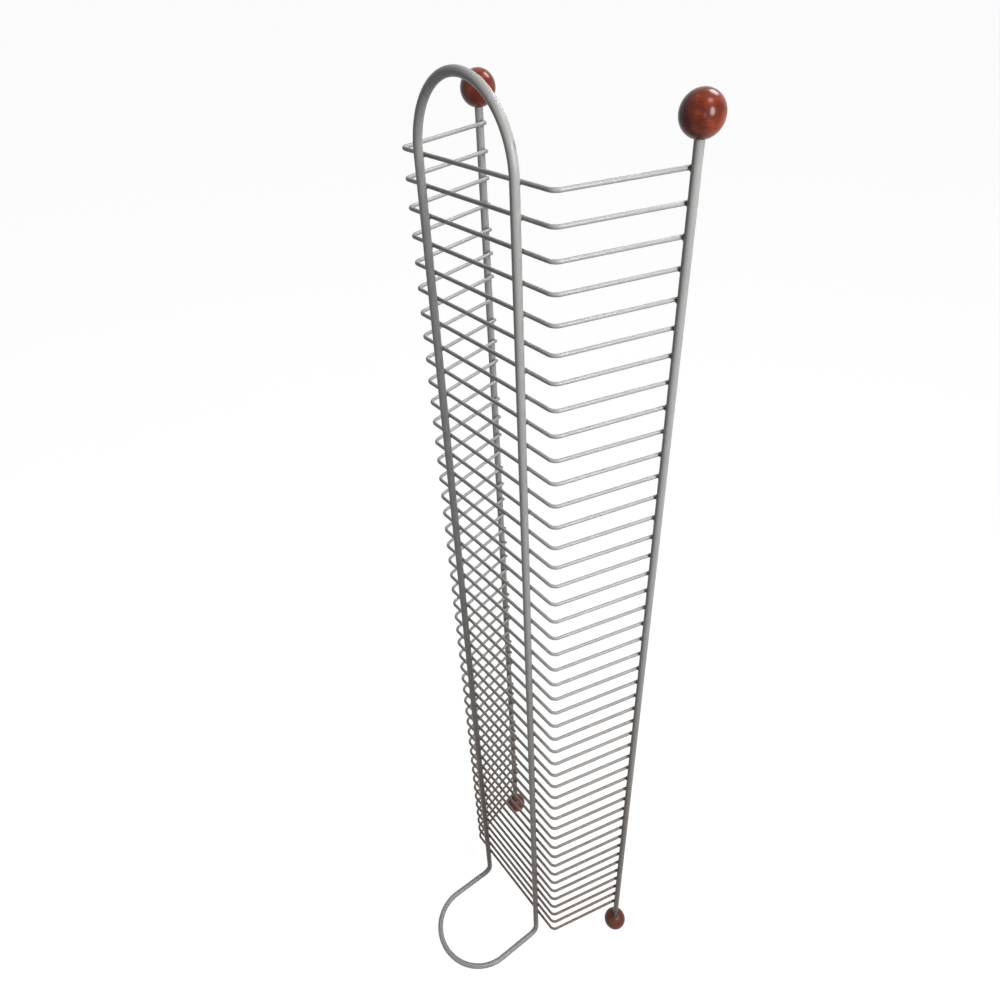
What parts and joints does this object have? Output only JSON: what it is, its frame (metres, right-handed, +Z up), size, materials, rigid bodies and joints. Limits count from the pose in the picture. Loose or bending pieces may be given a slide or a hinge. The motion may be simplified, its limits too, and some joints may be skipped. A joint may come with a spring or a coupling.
{
  "type": "media storage tower",
  "caption": "Free-standing welded wire tower for disc cases, leaning back on a floor loop, with wooden balls on its two front posts.",
  "frame": {"origin": "on the floor under the middle of the whole tower's box", "axes": "+Z up, -Y towards the open front, +Y towards the floor loop, left is -X"},
  "size_m": [0.2244, 0.2004, 0.9335],
  "materials": {
    "silver_paint": "satin silver-grey paint on steel wire",
    "lacquered_wood": "reddish brown stain under gloss lacquer"
  },
  "bodies": {
    "root": {"shelf_wire_01": "silver_paint", "shelf_wire_02": "silver_paint", "shelf_wire_03": "silver_paint", "shelf_wire_04": "silver_paint", "shelf_wire_05": "silver_paint", "shelf_wire_06": "silver_paint", "shelf_wire_07": "silver_paint", "shelf_wire_08": "silver_paint", "shelf_wire_09": "silver_paint", "shelf_wire_10": "silver_paint", "shelf_wire_11": "silver_paint", "shelf_wire_12": "silver_paint", "shelf_wire_13": "silver_paint", "shelf_wire_14": "silver_paint", "shelf_wire_15": "silver_paint", "shelf_wire_16": "silver_paint", "shelf_wire_17": "silver_paint", "shelf_wire_18": "silver_paint", "shelf_wire_19": "silver_paint", "shelf_wire_20": "silver_paint", "shelf_wire_21": "silver_paint", "shelf_wire_22": "silver_paint", "shelf_wire_23": "silver_paint", "shelf_wire_24": "silver_paint", "shelf_wire_25": "silver_paint", "shelf_wire_26": "silver_paint", "shelf_wire_27": "silver_paint", "shelf_wire_28": "silver_paint", "shelf_wire_29": "silver_paint", "shelf_wire_30": "silver_paint", "shelf_wire_31": "silver_paint", "shelf_wire_32": "silver_paint", "shelf_wire_33": "silver_paint", "shelf_wire_34": "silver_paint", "shelf_wire_35": "silver_paint", "shelf_wire_36": "silver_paint", "shelf_wire_37": "silver_paint", "shelf_wire_38": "silver_paint", "shelf_wire_39": "silver_paint", "shelf_wire_40": "silver_paint", "shelf_wire_41": "silver_paint", "shelf_wire_42": "silver_paint", "shelf_wire_43": "silver_paint", "shelf_wire_44": "silver_paint", "shelf_wire_45": "silver_paint", "shelf_wire_46": "silver_paint", "back_rod": "silver_paint", "left_post": "silver_paint", "right_post": "silver_paint", "left_top_ball": "lacquered_wood", "right_top_ball": "lacquered_wood", "left_foot_ball": "lacquered_wood", "right_foot_ball": "lacquered_wood"}
  },
  "joints": []
}
